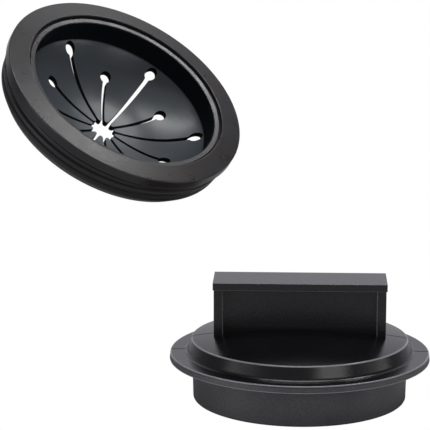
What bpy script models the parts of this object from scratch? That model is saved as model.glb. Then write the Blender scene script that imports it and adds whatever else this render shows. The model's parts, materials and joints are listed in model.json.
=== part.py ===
"""Splash guard and stopper for the drain opening of a kitchen waste disposal.

The set has two loose pieces.  The stopper is a hollow plastic cap with a T-shaped handle, and it
stands on its skirt.  The splash guard is a rubber collar whose bowl is slit into six petals, each
with a split end, so that twelve tips close round the centre hole.  It is held tilted in the air,
above and to the left of the stopper, as if shown to a buyer.

Run with: blender --background --python part.py
"""

import math

import bmesh
import bpy
from mathutils import Matrix, Vector

MM = 0.001
ROUND_STEPS = 48
GAP = 0.3 * MM
MERGE_DISTANCE = 0.001 * MM

# --- Splash guard: collar.  Heights are along the guard's own axis, from the flange's top edge.
FLANGE_RADIUS = 40.25 * MM
FLANGE_INSIDE = 33.3 * MM
FLANGE_RISE = 0.7 * MM
FLANGE_BOTTOM = -3.0 * MM
FLANGE_TOP_ROUNDING = 0.6 * MM
FLANGE_LOWER_ROUNDING = 0.3 * MM
FLANGE_SEAT_INSIDE = 39.15 * MM
LIP_RADIUS = 32.8 * MM
LIP_HEIGHT = -0.3 * MM
LIP_CHAMFER = 0.35 * MM
THROAT_RADIUS = 31.05 * MM
WALL_FOOT = -7.8 * MM
INNER_WALL_OUTSIDE = 33.0 * MM
CHANNEL_OUTSIDE = 35.2 * MM
CHANNEL_TOP = -4.0 * MM
NECK_BOTTOM = -13.1 * MM
NECK_FOOT_RADIUS = 36.3 * MM
NECK_FOOT_ROUNDING = 0.6 * MM
RIDGE_COUNT = 2
RIDGE_PITCH = 2.4 * MM
RIDGE_RADIUS = 39.0 * MM
GROOVE_RADIUS = 38.2 * MM
GROOVE_HALF_WIDTH = 0.45 * MM
FIRST_GROOVE = -3.45 * MM
BARREL_RADIUS = 38.6 * MM
BARREL_FOOT = -10.2 * MM

# --- Splash guard: slit bowl.
BOWL_DEPTH = 17.9 * MM
BOWL_POWER = 2.9
BOWL_THICKNESS = 1.8 * MM
PETAL_COUNT = 6
PETAL_ANGLE = 2.0 * math.pi / PETAL_COUNT
TIP_ANGLE = PETAL_ANGLE / 2
LONG_SLOT_RADIUS = 28.9 * MM
SHORT_SLOT_RADIUS = 21.95 * MM
RELIEF_RADIUS = 1.85 * MM
SLOT_WIDTH_OUTSIDE = 1.45 * MM
SLOT_WIDTH_INSIDE = 0.9 * MM
CENTRE_HOLE_RADIUS = 4.4 * MM
TIP_BULGE = 0.5 * MM
RIM_STEP = 26.5 * MM
CUTTER_MARGIN = 1.0 * MM
PETAL_CREASES = (-9.0, -5.0, 0.0, 5.0, 9.0)
TIP_CREASES = (8.0, 12.0, 16.0)
PETAL_FOLD = LONG_SLOT_RADIUS * math.cos(PETAL_ANGLE / 2)
TIP_FOLD = SHORT_SLOT_RADIUS * math.cos(TIP_ANGLE / 2)
RIM_INSIDE = PETAL_FOLD - 2.0 * MM

# --- Splash guard: how it is held, from the foot of the stopper's axis.
GUARD_CENTRE = Vector((-55.22, 12.0, 96.23)) * MM
GUARD_TILT = math.radians(38.93)
GUARD_TILT_TOWARDS = math.radians(-42.93)
GUARD_SPIN = math.radians(-2.4)

# --- Stopper: cap.  Heights are from the foot of its skirt.
SKIRT_RADIUS = 34.0 * MM
SKIRT_FOOT_RADIUS = 33.7 * MM
CAP_WALL = 2.4 * MM
SEAT_RADIUS = 41.2 * MM
SEAT_TOP_RADIUS = 40.75 * MM
SEAT_TOP = 15.0 * MM
SEAT_THICKNESS = 2.3 * MM
SHOULDER_FOOT_RADIUS = 35.8 * MM
SHOULDER_RADIUS = 34.2 * MM
SHOULDER_TOP = 19.3 * MM
CROWN_HEIGHT = 22.0 * MM
CROWN_STEPS = 6
STIFFENER_THICKNESS = 1.6 * MM
STIFFENER_BOTTOM = 13.0 * MM
STIFFENER_TOP = 19.0 * MM
STIFFENER_REACH = 32.2 * MM

# --- Stopper: handle.
HANDLE_LENGTH = 54.5 * MM
HANDLE_DEPTH = 16.0 * MM
HANDLE_TOP = 38.4 * MM
BAR_THICKNESS = 2.3 * MM
BAR_ROUNDING = 0.6 * MM
END_RIB_THICKNESS = 2.8 * MM
END_RIB_DEPTH = 8.0 * MM
END_RIB_INSET = 0.15 * MM
WEB_THICKNESS = 3.0 * MM


def make_material(name, colour, roughness):
    """Plain Principled material, not metallic."""
    material = bpy.data.materials.new(name)
    material.use_nodes = True
    shader = material.node_tree.nodes["Principled BSDF"]
    shader.inputs["Base Color"].default_value = (*colour, 1.0)
    shader.inputs["Roughness"].default_value = roughness
    shader.inputs["Metallic"].default_value = 0.0
    return material


def make_empty(name, parent=None):
    empty = bpy.data.objects.new(name, None)
    bpy.context.collection.objects.link(empty)
    empty.parent = parent
    return empty


def make_object(name, mesh, parent, material=None):
    """Put a mesh in the scene under its parent; with no material it is a cutter."""
    piece = bpy.data.objects.new(name, mesh)
    bpy.context.collection.objects.link(piece)
    piece.parent = parent
    if material is None:
        piece.hide_render = True
        piece.display_type = "WIRE"
    else:
        mesh.materials.append(material)
        mesh.shade_smooth()
        mesh.set_sharp_from_angle(angle=math.radians(35.0))
    return piece


def finish_mesh(name, work):
    """Merge, turn all faces outwards and store the working mesh."""
    bmesh.ops.remove_doubles(work, verts=work.verts[:], dist=MERGE_DISTANCE)
    bmesh.ops.dissolve_degenerate(work, edges=work.edges[:], dist=MERGE_DISTANCE)
    bmesh.ops.recalc_face_normals(work, faces=work.faces[:])
    mesh = bpy.data.meshes.new(name)
    work.to_mesh(mesh)
    work.free()
    return mesh


def apply_boolean(piece, cutter, operation):
    modifier = piece.modifiers.new(cutter.name, "BOOLEAN")
    modifier.operation = operation
    modifier.solver = "EXACT"
    modifier.object = cutter


def rounded_outline(corners, steps=2):
    """Turn (x, y, radius) corners into points, with an arc at each corner whose radius isn't 0."""
    points = []
    for index, (x, y, radius) in enumerate(corners):
        corner = Vector((x, y))
        if radius == 0.0:
            points.append(corner)
            continue
        before = Vector(corners[index - 1][:2]) - corner
        after = Vector(corners[(index + 1) % len(corners)][:2]) - corner
        half_angle = before.angle(after) / 2
        reach = radius / math.tan(half_angle)
        start = corner + before.normalized() * reach
        end = corner + after.normalized() * reach
        bisector = (before.normalized() + after.normalized()).normalized()
        centre = corner + bisector * radius / math.sin(half_angle)
        for step in range(steps + 1):
            spoke = (start - centre).lerp(end - centre, step / steps)
            points.append(centre + spoke.normalized() * radius)
    return points


def turned_mesh(name, profile, closed):
    """Turn a profile of (radius, height) points about Z into a closed body."""
    work = bmesh.new()
    verts = [work.verts.new((radius, 0.0, height)) for radius, height in profile]
    edges = [work.edges.new(pair) for pair in zip(verts, verts[1:])]
    if closed:
        edges.append(work.edges.new((verts[-1], verts[0])))
    bmesh.ops.spin(
        work, geom=verts + edges, cent=(0, 0, 0), axis=(0, 0, 1), angle=2 * math.pi,
        steps=ROUND_STEPS, use_merge=True,
    )
    return finish_mesh(name, work)


def add_prism(work, outline, bottom, top):
    """Add an upright prism over a plan outline to the working mesh."""
    face = work.faces.new([work.verts.new((x, y, bottom)) for x, y in outline])
    raised = bmesh.ops.extrude_face_region(work, geom=[face])["geom"]
    raised_verts = [item for item in raised if isinstance(item, bmesh.types.BMVert)]
    bmesh.ops.translate(work, verts=raised_verts, vec=(0.0, 0.0, top - bottom))


def polar(radius, angle):
    return Vector((radius * math.cos(angle), radius * math.sin(angle)))


# --- Splash guard ---------------------------------------------------------------------------


def bowl_height(radius):
    """Height of the bowl's upper face, lowest on the axis and steepest at the throat's wall."""
    climb = (radius / THROAT_RADIUS) ** BOWL_POWER
    return -BOWL_DEPTH + (BOWL_DEPTH + WALL_FOOT) * climb


def slot_half_width(radius):
    """A slot widens from the centre hole to its relief hole."""
    share = (radius - CENTRE_HOLE_RADIUS) / (SHORT_SLOT_RADIUS - CENTRE_HOLE_RADIUS)
    width = SLOT_WIDTH_INSIDE + (SLOT_WIDTH_OUTSIDE - SLOT_WIDTH_INSIDE) * min(share, 1.0)
    return width / 2


def ridge_corners():
    """Sealing ridges, each below a groove, then the last groove and the top of the barrel."""
    corners = []
    for index in range(RIDGE_COUNT):
        groove = FIRST_GROOVE - index * RIDGE_PITCH
        next_groove = groove - RIDGE_PITCH
        corners.append((GROOVE_RADIUS, groove, 0.0))
        corners.append((RIDGE_RADIUS, groove - GROOVE_HALF_WIDTH, 0.0))
        corners.append((RIDGE_RADIUS, next_groove + GROOVE_HALF_WIDTH, 0.0))
    last_groove = FIRST_GROOVE - RIDGE_COUNT * RIDGE_PITCH
    corners.append((GROOVE_RADIUS, last_groove, 0.0))
    corners.append((BARREL_RADIUS, last_groove - GROOVE_HALF_WIDTH, 0.0))
    return corners


def collar_profile():
    """Closed section of the collar: flange, ridged neck, channel, bowl's fixed rim, throat, lip."""
    corners = [
        (FLANGE_INSIDE, FLANGE_RISE, 0.0),
        (FLANGE_RADIUS, 0.0, FLANGE_TOP_ROUNDING),
        (FLANGE_RADIUS, FLANGE_BOTTOM, FLANGE_LOWER_ROUNDING),
        (FLANGE_SEAT_INSIDE, FLANGE_BOTTOM, 0.0),
    ]
    corners += ridge_corners()
    corners += [
        (BARREL_RADIUS, BARREL_FOOT, 0.0),
        (NECK_FOOT_RADIUS, NECK_BOTTOM, NECK_FOOT_ROUNDING),
        (CHANNEL_OUTSIDE, NECK_BOTTOM, 0.0),
        (CHANNEL_OUTSIDE, CHANNEL_TOP, 0.0),
        (INNER_WALL_OUTSIDE, CHANNEL_TOP, 0.0),
        (INNER_WALL_OUTSIDE, WALL_FOOT - BOWL_THICKNESS, 0.0),
    ]
    section = rounded_outline(corners)
    rim_radii = [THROAT_RADIUS, RIM_STEP, RIM_INSIDE]
    section += [Vector((radius, bowl_height(radius) - BOWL_THICKNESS)) for radius in rim_radii]
    section += [Vector((radius, bowl_height(radius))) for radius in reversed(rim_radii)]
    section += [
        Vector((THROAT_RADIUS, LIP_HEIGHT - LIP_CHAMFER)),
        Vector((THROAT_RADIUS + LIP_CHAMFER, LIP_HEIGHT)),
        Vector((LIP_RADIUS, LIP_HEIGHT)),
    ]
    return section


def slot_edge(slot_angle, leaf_side, distance):
    """Point on a slot's edge; leaf_side is 1 where the leaf lies anticlockwise of the slot."""
    sideways = polar(1.0, slot_angle + leaf_side * math.pi / 2)
    return polar(distance, slot_angle) + sideways * slot_half_width(distance)


def slot_edge_at_fold(slot_angle, leaf_side, fold_angle, fold_distance):
    """Where a slot's edge meets a fold line, which lies square to the fold angle."""
    sideways = polar(1.0, slot_angle + leaf_side * math.pi / 2)
    fold_normal = polar(1.0, fold_angle)
    offset = slot_half_width(fold_distance) * sideways.dot(fold_normal)
    return slot_edge(slot_angle, leaf_side, (fold_distance - offset) / math.cos(slot_angle - fold_angle))


def relief_arc(slot_angle, hole_distance, start, end, steps=3):
    """Arc of a relief hole between two points on it, less than half a turn apart."""
    centre = polar(hole_distance, slot_angle)
    spokes = [(start - centre).lerp(end - centre, step / steps) for step in range(steps + 1)]
    return [centre + spoke.normalized() * RELIEF_RADIUS for spoke in spokes]


def fold_meets_hole(slot_angle, hole_distance, fold_angle, fold_distance):
    """Where a fold line runs into the relief hole at its end, on the fold's own side."""
    centre = polar(hole_distance, slot_angle)
    along = polar(1.0, fold_angle + math.pi / 2)
    along *= math.copysign(1.0, math.sin(fold_angle - slot_angle))
    miss = fold_distance - centre.dot(polar(1.0, fold_angle))
    reach = math.sqrt(RELIEF_RADIUS ** 2 - miss ** 2)
    return centre + polar(miss, fold_angle) + along * reach


def slot_leaves_hole(slot_angle, leaf_side, hole_distance):
    half_width = slot_half_width(hole_distance)
    return slot_edge(slot_angle, leaf_side,
                     hole_distance - math.sqrt(RELIEF_RADIUS ** 2 - half_width ** 2))


def petal_outline():
    """Petal from its fold line to those of its two tips; x points outwards along its middle."""
    slot = PETAL_ANGLE / 2
    tip_fold = TIP_FOLD + GAP / 2
    root = fold_meets_hole(slot, LONG_SLOT_RADIUS, 0.0, PETAL_FOLD - GAP / 2)
    side_start = slot_leaves_hole(slot, -1, LONG_SLOT_RADIUS)
    half = relief_arc(slot, LONG_SLOT_RADIUS, root, side_start)
    half.append(slot_edge_at_fold(slot, -1, TIP_ANGLE / 2, tip_fold))
    notch_start = fold_meets_hole(0.0, SHORT_SLOT_RADIUS, TIP_ANGLE / 2, tip_fold)
    notch_middle = Vector((SHORT_SLOT_RADIUS + RELIEF_RADIUS, 0.0))
    half += relief_arc(0.0, SHORT_SLOT_RADIUS, notch_start, notch_middle, steps=4)[:-1]
    return half + [notch_middle] + [Vector((x, -y)) for x, y in reversed(half)]


def tip_outline(short_slot_side):
    """Tip from its fold line to the centre hole; short_slot_side is 1 or -1."""
    root_distance = TIP_FOLD - GAP / 2
    slot = short_slot_side * TIP_ANGLE / 2
    root = fold_meets_hole(slot, SHORT_SLOT_RADIUS, 0.0, root_distance)
    side_start = slot_leaves_hole(slot, -short_slot_side, SHORT_SLOT_RADIUS)
    outline = relief_arc(slot, SHORT_SLOT_RADIUS, root, side_start)
    outline += [
        slot_edge(slot, -short_slot_side, CENTRE_HOLE_RADIUS),
        Vector((CENTRE_HOLE_RADIUS - TIP_BULGE, 0.0)),
        slot_edge(-slot, short_slot_side, CENTRE_HOLE_RADIUS),
        slot_edge_at_fold(-slot, short_slot_side, 0.0, root_distance),
    ]
    return outline


def hinge_point(fold_distance):
    """A leaf folds about the lower edge of its root: distance from the axis, and height."""
    root_distance = fold_distance - GAP / 2
    return root_distance, bowl_height(root_distance) - BOWL_THICKNESS


def leaf_mesh(name, outline, cuts, fold_distance):
    """Curved leaf that follows the bowl, with its origin on its hinge; cuts make its creases."""
    root_distance, hinge_height = hinge_point(fold_distance)
    work = bmesh.new()
    work.faces.new([work.verts.new((x, y, 0.0)) for x, y in outline])
    for point, normal in cuts:
        everything = work.verts[:] + work.edges[:] + work.faces[:]
        bmesh.ops.bisect_plane(work, geom=everything, plane_co=point, plane_no=normal)
    bmesh.ops.triangulate(work, faces=work.faces[:])
    lower = bmesh.ops.extrude_face_region(work, geom=work.faces[:])["geom"]
    lower_verts = {item for item in lower if isinstance(item, bmesh.types.BMVert)}
    for vert in work.verts:
        height = bowl_height(vert.co.xy.length) - hinge_height
        if vert in lower_verts:
            height -= BOWL_THICKNESS
        vert.co = (vert.co.x - root_distance, vert.co.y, height)
    return finish_mesh(name, work)


def place_leaf(leaf, fold_distance, angle):
    root_distance, hinge_height = hinge_point(fold_distance)
    leaf.location = (*polar(root_distance, angle), hinge_height)
    leaf.rotation_euler.z = angle


def make_petal(index, guard_frame, material):
    """Petal between two long slots, counted anticlockwise."""
    name = f"guard_petal_{index + 1}"
    cuts = [((0.0, y * MM, 0.0), (0, 1, 0)) for y in PETAL_CREASES]
    mesh = leaf_mesh(name, petal_outline(), cuts, PETAL_FOLD)
    petal = make_object(name, mesh, guard_frame, material)
    place_leaf(petal, PETAL_FOLD, (index + 0.5) * PETAL_ANGLE)


def make_tip(index, guard_frame, material):
    """Tip number index; two neighbours share a petal and the short slot between them."""
    name = f"guard_tip_{index + 1:02d}"
    short_slot_side = 1 if index % 2 == 0 else -1
    cuts = [((x * MM, 0.0, 0.0), (1, 0, 0)) for x in TIP_CREASES]
    mesh = leaf_mesh(name, tip_outline(short_slot_side), cuts, TIP_FOLD)
    tip = make_object(name, mesh, guard_frame, material)
    place_leaf(tip, TIP_FOLD, (index + 0.5) * TIP_ANGLE)


def keyhole_outline(angle):
    """Outer end of a long slot with its round relief hole, seen from above."""
    inner_end = RIM_INSIDE - CUTTER_MARGIN
    arc_steps = 12
    mouth = math.asin(slot_half_width(LONG_SLOT_RADIUS) / RELIEF_RADIUS)
    outline = [slot_edge(angle, 1, inner_end)]
    for step in range(arc_steps + 1):
        turn = (math.pi - mouth) * (1 - 2 * step / arc_steps)
        outline.append(polar(LONG_SLOT_RADIUS, angle) + polar(RELIEF_RADIUS, angle + turn))
    outline.append(slot_edge(angle, -1, inner_end))
    return outline


def petal_window_outline():
    """Six-sided opening that the petals fill; its sides are their fold lines."""
    corner_distance = (PETAL_FOLD + GAP / 2) / math.cos(PETAL_ANGLE / 2)
    return [polar(corner_distance, index * PETAL_ANGLE) for index in range(PETAL_COUNT)]


def make_collar(guard_frame, material):
    """Collar with the six-sided opening for the petals and the outer ends of the long slots."""
    collar = make_object("guard_collar", turned_mesh("guard_collar", collar_profile(), True),
                         guard_frame, material)
    cutter_bottom = -BOWL_DEPTH - BOWL_THICKNESS - CUTTER_MARGIN
    cutter_top = WALL_FOOT + CUTTER_MARGIN
    window = bmesh.new()
    add_prism(window, petal_window_outline(), cutter_bottom, cutter_top)
    slots = bmesh.new()
    for index in range(PETAL_COUNT):
        outline = keyhole_outline(index * PETAL_ANGLE)
        add_prism(slots, outline, cutter_bottom, cutter_top)
    # The slots go first: cut through the whole rim, they leave clean corners for the window.
    for name, work in (("slot_keyholes", slots), ("petal_window", window)):
        cutter = make_object(name, finish_mesh(name, work), guard_frame)
        apply_boolean(collar, cutter, "DIFFERENCE")


def make_guard(set_frame):
    collar_rubber = make_material("collar_rubber", (0.030, 0.029, 0.030), 0.55)
    bowl_rubber = make_material("bowl_rubber", (0.022, 0.027, 0.030), 0.50)
    guard_frame = make_empty("guard_frame", set_frame)
    guard_frame.matrix_basis = (
        Matrix.Translation(GUARD_CENTRE)
        @ Matrix.Rotation(GUARD_TILT_TOWARDS, 4, "Z")
        @ Matrix.Rotation(GUARD_TILT, 4, "Y")
        @ Matrix.Rotation(GUARD_SPIN, 4, "Z")
    )
    make_collar(guard_frame, collar_rubber)
    for index in range(PETAL_COUNT):
        make_petal(index, guard_frame, bowl_rubber)
    for index in range(2 * PETAL_COUNT):
        make_tip(index, guard_frame, bowl_rubber)


# --- Stopper --------------------------------------------------------------------------------


def crown_height(radius):
    """Height of the cap's gently domed top."""
    return CROWN_HEIGHT - (CROWN_HEIGHT - SHOULDER_TOP) * (radius / SHOULDER_RADIUS) ** 2


def cap_profile():
    """Open section of the cap, from the top's centre down the outside and back up inside."""
    crown = [SHOULDER_RADIUS * step / CROWN_STEPS for step in range(CROWN_STEPS)]
    inside_radius = SHOULDER_RADIUS - CAP_WALL
    seat_bottom = SEAT_TOP - SEAT_THICKNESS
    outside = rounded_outline([
        (0.0, SHOULDER_TOP, 0.0),
        (SHOULDER_RADIUS, SHOULDER_TOP, 0.5 * MM),
        (SHOULDER_FOOT_RADIUS, SEAT_TOP, 1.2 * MM),
        (SEAT_TOP_RADIUS, SEAT_TOP, 0.5 * MM),
        (SEAT_RADIUS, seat_bottom, 0.3 * MM),
        (SKIRT_RADIUS, seat_bottom, 0.0),
        (SKIRT_FOOT_RADIUS, 0.0, 0.6 * MM),
        (SKIRT_FOOT_RADIUS - CAP_WALL, 0.0, 0.5 * MM),
        (inside_radius, SHOULDER_TOP - CAP_WALL, 0.0),
    ])[1:]
    profile = [Vector((radius, crown_height(radius))) for radius in crown]
    profile += outside
    inner_crown = [radius for radius in reversed(crown) if radius < inside_radius]
    profile += [Vector((radius, crown_height(radius) - CAP_WALL)) for radius in inner_crown]
    return profile


def rectangle(length, depth, centre_x=0.0):
    """Plan outline with its sides along X and Y."""
    corners = ((-1, -1), (1, -1), (1, 1), (-1, 1))
    return [Vector((centre_x + x * length / 2, y * depth / 2)) for x, y in corners]


def make_cap(stopper_frame, material):
    cap = make_object("stopper_cap", turned_mesh("stopper_cap", cap_profile(), False),
                      stopper_frame, material)
    for name, turn in (("stiffener_across", 0.0), ("stiffener_along", math.pi / 2)):
        work = bmesh.new()
        add_prism(work, rectangle(2 * STIFFENER_REACH, STIFFENER_THICKNESS),
                  STIFFENER_BOTTOM, STIFFENER_TOP)
        stiffener = make_object(name, finish_mesh(name, work), stopper_frame)
        stiffener.rotation_euler.z = turn
        apply_boolean(cap, stiffener, "UNION")


def make_bar_mesh():
    """Flat top bar with softened edges."""
    work = bmesh.new()
    add_prism(work, rectangle(HANDLE_LENGTH, HANDLE_DEPTH), HANDLE_TOP - BAR_THICKNESS, HANDLE_TOP)
    bmesh.ops.recalc_face_normals(work, faces=work.faces[:])
    bmesh.ops.bevel(work, geom=work.edges[:], offset=BAR_ROUNDING, segments=2, profile=0.5,
                    affect="EDGES")
    return finish_mesh("stopper_handle", work)


def stem_outline():
    """Plan of what holds up the bar: a thin web between two deeper end ribs."""
    end_x = HANDLE_LENGTH / 2 - END_RIB_INSET
    rib_x = end_x - END_RIB_THICKNESS
    rib_y = END_RIB_DEPTH / 2
    web_y = WEB_THICKNESS / 2
    quarter = [(end_x, rib_y), (rib_x, rib_y), (rib_x, web_y)]
    mirrored = [(-x, y) for x, y in reversed(quarter)]
    upper = quarter + mirrored
    return upper + [(-x, -y) for x, y in upper]


def make_handle(stopper_frame, material):
    handle = make_object("stopper_handle", make_bar_mesh(), stopper_frame, material)
    stem = bmesh.new()
    add_prism(stem, stem_outline(), SHOULDER_TOP, HANDLE_TOP - BAR_THICKNESS / 2)
    apply_boolean(handle, make_object("handle_stem", finish_mesh("handle_stem", stem),
                                      stopper_frame), "UNION")
    radii = [SHOULDER_RADIUS * step / CROWN_STEPS for step in range(CROWN_STEPS + 1)]
    seat = [Vector((radius, crown_height(radius) + GAP)) for radius in radii]
    seat += [Vector((SHOULDER_RADIUS, 0.0)), Vector((0.0, 0.0))]
    apply_boolean(handle, make_object("crown_seat", turned_mesh("crown_seat", seat, False),
                                      stopper_frame), "DIFFERENCE")


def make_stopper(set_frame):
    plastic = make_material("stopper_plastic", (0.020, 0.020, 0.021), 0.32)
    stopper_frame = make_empty("stopper_frame", set_frame)
    make_cap(stopper_frame, plastic)
    make_handle(stopper_frame, plastic)


# --- Whole set ------------------------------------------------------------------------------


def clear_scene():
    for item in list(bpy.data.objects):
        bpy.data.objects.remove(item, do_unlink=True)


def centre_in_plan(set_frame):
    """Move the set so that the middle of its bounding box is above the origin."""
    bpy.context.view_layer.update()
    depsgraph = bpy.context.evaluated_depsgraph_get()
    corners = []
    for item in bpy.data.objects:
        if item.type == "MESH" and not item.hide_render:
            body = item.evaluated_get(depsgraph)
            corners += [body.matrix_world @ vert.co for vert in body.data.vertices]
    for axis in (0, 1):
        values = [corner[axis] for corner in corners]
        set_frame.location[axis] = -(min(values) + max(values)) / 2
    bpy.context.view_layer.update()


def main():
    clear_scene()
    set_frame = make_empty("set_frame")
    make_stopper(set_frame)
    make_guard(set_frame)
    centre_in_plan(set_frame)


main()
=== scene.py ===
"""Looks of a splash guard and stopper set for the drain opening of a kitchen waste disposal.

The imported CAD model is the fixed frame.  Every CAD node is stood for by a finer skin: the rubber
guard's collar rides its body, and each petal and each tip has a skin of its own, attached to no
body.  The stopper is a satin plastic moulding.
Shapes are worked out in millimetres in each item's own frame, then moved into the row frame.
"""

import json
import math

import bmesh
import bpy
import numpy as np
from mathutils import Matrix, Vector
from mathutils.geometry import area_tri, delaunay_2d_cdt


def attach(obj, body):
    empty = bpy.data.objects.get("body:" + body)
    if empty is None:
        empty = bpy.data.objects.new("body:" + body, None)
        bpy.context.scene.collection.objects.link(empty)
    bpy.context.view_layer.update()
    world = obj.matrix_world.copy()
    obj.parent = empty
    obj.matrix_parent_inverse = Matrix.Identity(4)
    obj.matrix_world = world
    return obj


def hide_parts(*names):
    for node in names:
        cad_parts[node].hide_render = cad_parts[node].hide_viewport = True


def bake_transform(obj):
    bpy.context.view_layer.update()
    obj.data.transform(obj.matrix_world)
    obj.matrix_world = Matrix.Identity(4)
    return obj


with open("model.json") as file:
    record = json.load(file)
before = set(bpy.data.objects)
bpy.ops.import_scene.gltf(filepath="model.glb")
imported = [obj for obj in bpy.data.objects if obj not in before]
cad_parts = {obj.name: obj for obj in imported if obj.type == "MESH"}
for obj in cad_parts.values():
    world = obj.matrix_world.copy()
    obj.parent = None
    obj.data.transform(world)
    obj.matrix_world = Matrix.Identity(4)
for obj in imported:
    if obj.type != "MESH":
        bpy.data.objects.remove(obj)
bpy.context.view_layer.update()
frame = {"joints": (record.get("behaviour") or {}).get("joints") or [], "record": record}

MM = 0.001
STEPS = 144
MERGE = 0.0005
SUPPORT = 0.03
SKIN_SHARP = 38.0
CAP_SHARP = 34.0
HANDLE_SHARP = 50.0

# A face of a rounded edge is narrow, and turns by an angle in this range to the next one.
EDGE_TURN = 6.0
SHARPEST_TURN = 50.0
EDGE_WIDTH = 0.45

# --- Splash guard: collar, in mm; heights are from the flange's top outer edge.
FLANGE_INSIDE = 33.3
FLANGE_RISE = 0.7
FLANGE_RADIUS = 40.06
FLANGE_BOTTOM = -3.0
SEAT_INSIDE = 39.2
LIP_RADIUS = 32.7
LIP_OUTER_HEIGHT = -0.28
LIP_INNER_HEIGHT = -0.5
STEP_DEPTH = 0.35
THROAT_RADIUS = 31.05
WALL_FOOT = -7.8
RIM_JOIN = 30.9
GROOVES = (-3.45, -5.85, -8.25)
GROOVE_RADIUS = 37.9
GROOVE_HALF_WIDTH = 0.72
RIDGE_RADII = (38.95, 38.9, 38.55)
BARREL_FOOT = -10.2
NECK_FOOT_RADIUS = 36.3
NECK_BOTTOM = -13.1
CHANNEL_OUTSIDE = 35.2
CHANNEL_TOP = -4.0
CHANNEL_INSIDE = 33.0

# --- Splash guard: shade on its neck, extra shade on its barrel, and how far shades fade, in mm.
NECK_SHADE = 0.35
BARREL_SHADE = 0.45
BARREL_FADE = 4.5
GROOVE_FADE = 0.35

# --- Splash guard: slit bowl, in mm.
BOWL_DEPTH = 17.9
BOWL_POWER = 2.9
BOWL_THICKNESS = 1.8
PETAL_COUNT = 6
PETAL_ANGLE = 2 * math.pi / PETAL_COUNT
TIP_ANGLE = PETAL_ANGLE / 2
LONG_SLOT = 28.9
SHORT_SLOT = 21.95
RELIEF_RADIUS = 1.85
SLOT_WIDTH_OUTSIDE = 1.4
SLOT_WIDTH_INSIDE = 0.95
CENTRE_HOLE = 4.6
TIP_REACH = 3.9
CAD_GAP = 0.3
OUTLINE_SPACING = 0.6
LEAF_SPACING = 0.9
RIM_SPACING = 1.1
PETAL_HINGE = LONG_SLOT * math.cos(PETAL_ANGLE / 2) - CAD_GAP / 2
PETAL_SEAM = 25.9
PETAL_BENT = 23.4
TIP_SEAM = 22.1
TIP_BENT = 20.1

# --- Collar's material slots.
COLLAR, BOWL, CUT_SHADE, THROAT_SHADE = range(4)

# --- Stopper, in mm; heights are from the foot of its skirt.
SKIRT_RADIUS = 34.0
SKIRT_FOOT_RADIUS = 33.7
CAP_WALL = 2.4
SEAT_RADIUS = 41.15
SEAT_TOP_RADIUS = 40.9
SEAT_TOP = 15.0
SEAT_BOTTOM = 12.7
SHOULDER_FOOT = 35.8
SHOULDER_RADIUS = 34.2
SHOULDER_TOP = 19.3
CROWN_HEIGHT = 22.0
STIFFENER_LENGTH = 64.0
STIFFENER_THICKNESS = 1.6
STIFFENER_FOOT = 13.0
STIFFENER_TOP = 19.0
PARTING_WIDTH = 0.5
PARTING_DEPTH = 0.25
HANDLE_LENGTH = 54.5
HANDLE_DEPTH = 16.0
HANDLE_TOP = 38.4
BAR_THICKNESS = 2.3
END_RIB_THICKNESS = 2.8
END_RIB_DEPTH = 8.0
END_RIB_INSET = 0.15
WEB_THICKNESS = 3.0
STEM_FOOT = 19.9
HANDLE_BEVEL = (0.7, 4)

# --- Stopper's finish: heights over which its satin grey (its duller finish, and paler as painted light), its handle's painted light and its edges' painted highlights come in.
SATIN_AND_PAINTED_LIGHT_HEIGHTS = (14.7, 14.2)
HANDLE_PAINTED_LIGHT_HEIGHTS = (22.2, 23.2)
PAINTED_HIGHLIGHT_HEIGHTS = (10.0, 12.0)

# --- Studio: strength of the room's light from the front (0) to the back (1), and its tint.
ROOM_LIGHT = ((0.0, 0.26), (0.30, 0.24), (0.50, 0.17), (0.72, 0.18), (0.97, 0.63))
ROOM_TINT = (1.0, 0.985, 1.06)

# --- Studio: softboxes, camera and floor, in m.
SOFTBOX_DISTANCE = 0.8
SET_AIM = (0.0, 0.0, 0.05)
GUARD_AIM = (-0.03, 0.0, 0.09)
STOPPER_AIM = (0.03, 0.0, 0.02)
EYE_DISTANCE = 0.65
EYE_RISE = math.radians(15.43)
EYE_PITCH = math.radians(11.663)
EYE_YAW = math.radians(2.451)
LENS = 171.01
FLOOR_REACH = 2.0
FLOOR_HEIGHT = -0.0001


# --- Shape tools ----------------------------------------------------------------------------


def rounded_outline(corners, steps=5):
    """Turn (x, y, radius) corners into points, with an arc at each corner whose radius isn't 0.

    A point close to each end of an arc keeps the flat face beside it flat in its shading.
    """
    points = []
    for index, (x, y, radius) in enumerate(corners):
        corner = Vector((x, y))
        if radius == 0.0:
            points.append(corner)
            continue
        before = Vector(corners[index - 1][:2]) - corner
        after = Vector(corners[(index + 1) % len(corners)][:2]) - corner
        half_angle = before.angle(after) / 2
        reach = radius / math.tan(half_angle)
        start = corner + before.normalized() * reach
        end = corner + after.normalized() * reach
        bisector = (before.normalized() + after.normalized()).normalized()
        centre = corner + bisector * radius / math.sin(half_angle)
        points.append(start + before.normalized() * SUPPORT)
        for step in range(steps + 1):
            spoke = (start - centre).lerp(end - centre, step / steps)
            points.append(centre + spoke.normalized() * radius)
        points.append(end + after.normalized() * SUPPORT)
    return points


def polar(radius, angle):
    return Vector((radius * math.cos(angle), radius * math.sin(angle)))


def turned(section):
    """Vertices and faces of a section of (radius, height) points turned about Z."""
    verts, rings = [], []
    for radius, height in section:
        if radius < MERGE:
            rings.append([len(verts)] * STEPS)
            verts.append((0.0, 0.0, height))
            continue
        rings.append(list(range(len(verts), len(verts) + STEPS)))
        verts += [(*polar(radius, 2 * math.pi * k / STEPS), height) for k in range(STEPS)]
    faces = []
    for low, high in zip(rings, rings[1:]):
        for k in range(STEPS):
            quad = (low[k], low[(k + 1) % STEPS], high[(k + 1) % STEPS], high[k])
            faces.append(tuple(dict.fromkeys(quad)))
    return verts, faces


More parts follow.
